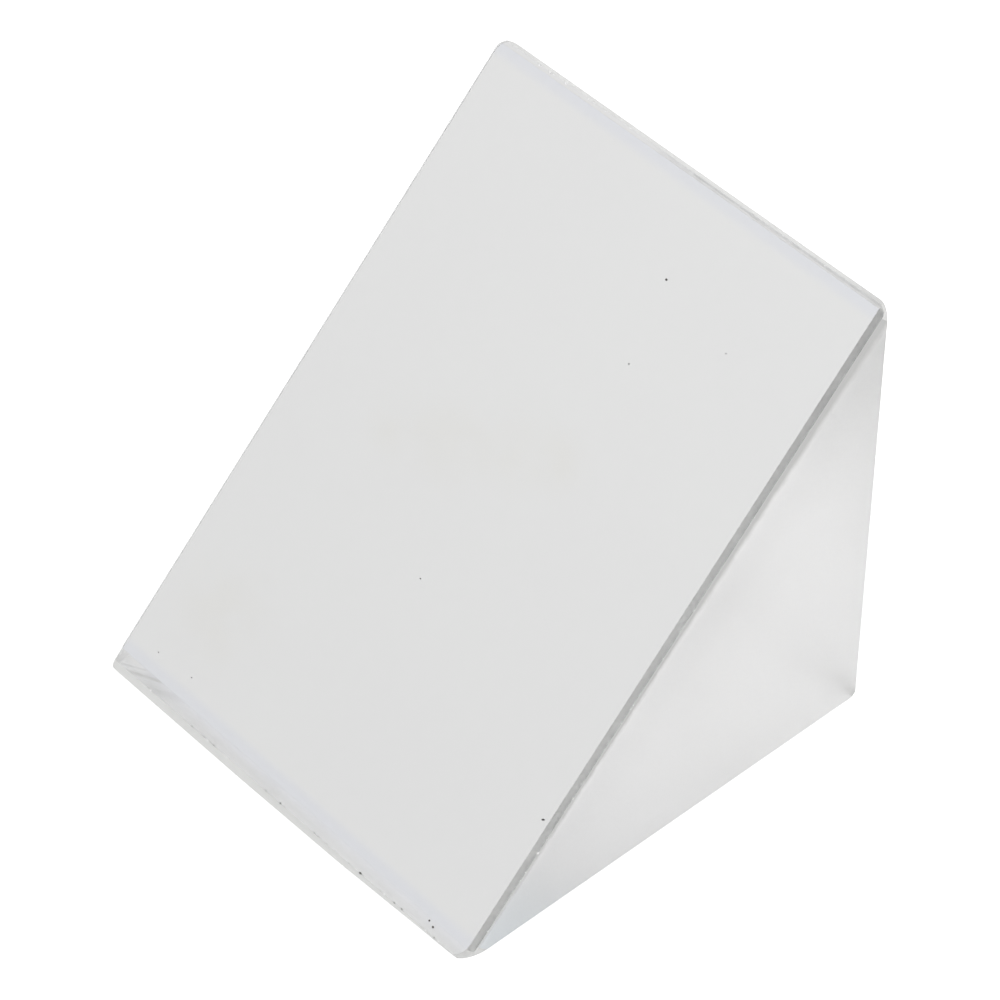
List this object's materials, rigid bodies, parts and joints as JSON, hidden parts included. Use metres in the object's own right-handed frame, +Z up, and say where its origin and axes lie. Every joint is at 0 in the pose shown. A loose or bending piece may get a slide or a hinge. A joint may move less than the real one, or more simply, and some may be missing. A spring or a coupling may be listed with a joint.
{
  "type": "right-angle prism",
  "caption": "Loose right-angle prism of optical glass with a mirrored hypotenuse, for folding a line of sight by 90 degrees in a surveying instrument.",
  "frame": {"origin": "centre of the lower leg face, which the prism rests on, taken between the sharp edges before bevelling", "axes": "+Z up out of the face it rests on, +Y towards the upright leg face, so the hypotenuse looks along -Y and +Z, +X along the length between the two ground ends"},
  "size_m": [0.0244, 0.0247, 0.0246],
  "materials": {
    "optical_glass": "legs and hypotenuse polished, both ends, bevels and corners finely ground",
    "mirror_film": "evaporated aluminium, mirror bright on the polished face and dull over the ground bevels",
    "clear_film": "clear hard film with a faint bluish fringe along both mask lines"
  },
  "bodies": {
    "root": {"prism_glass": "optical_glass", "mirror_coating": "mirror_film", "protective_overcoat": "clear_film"}
  },
  "joints": []
}
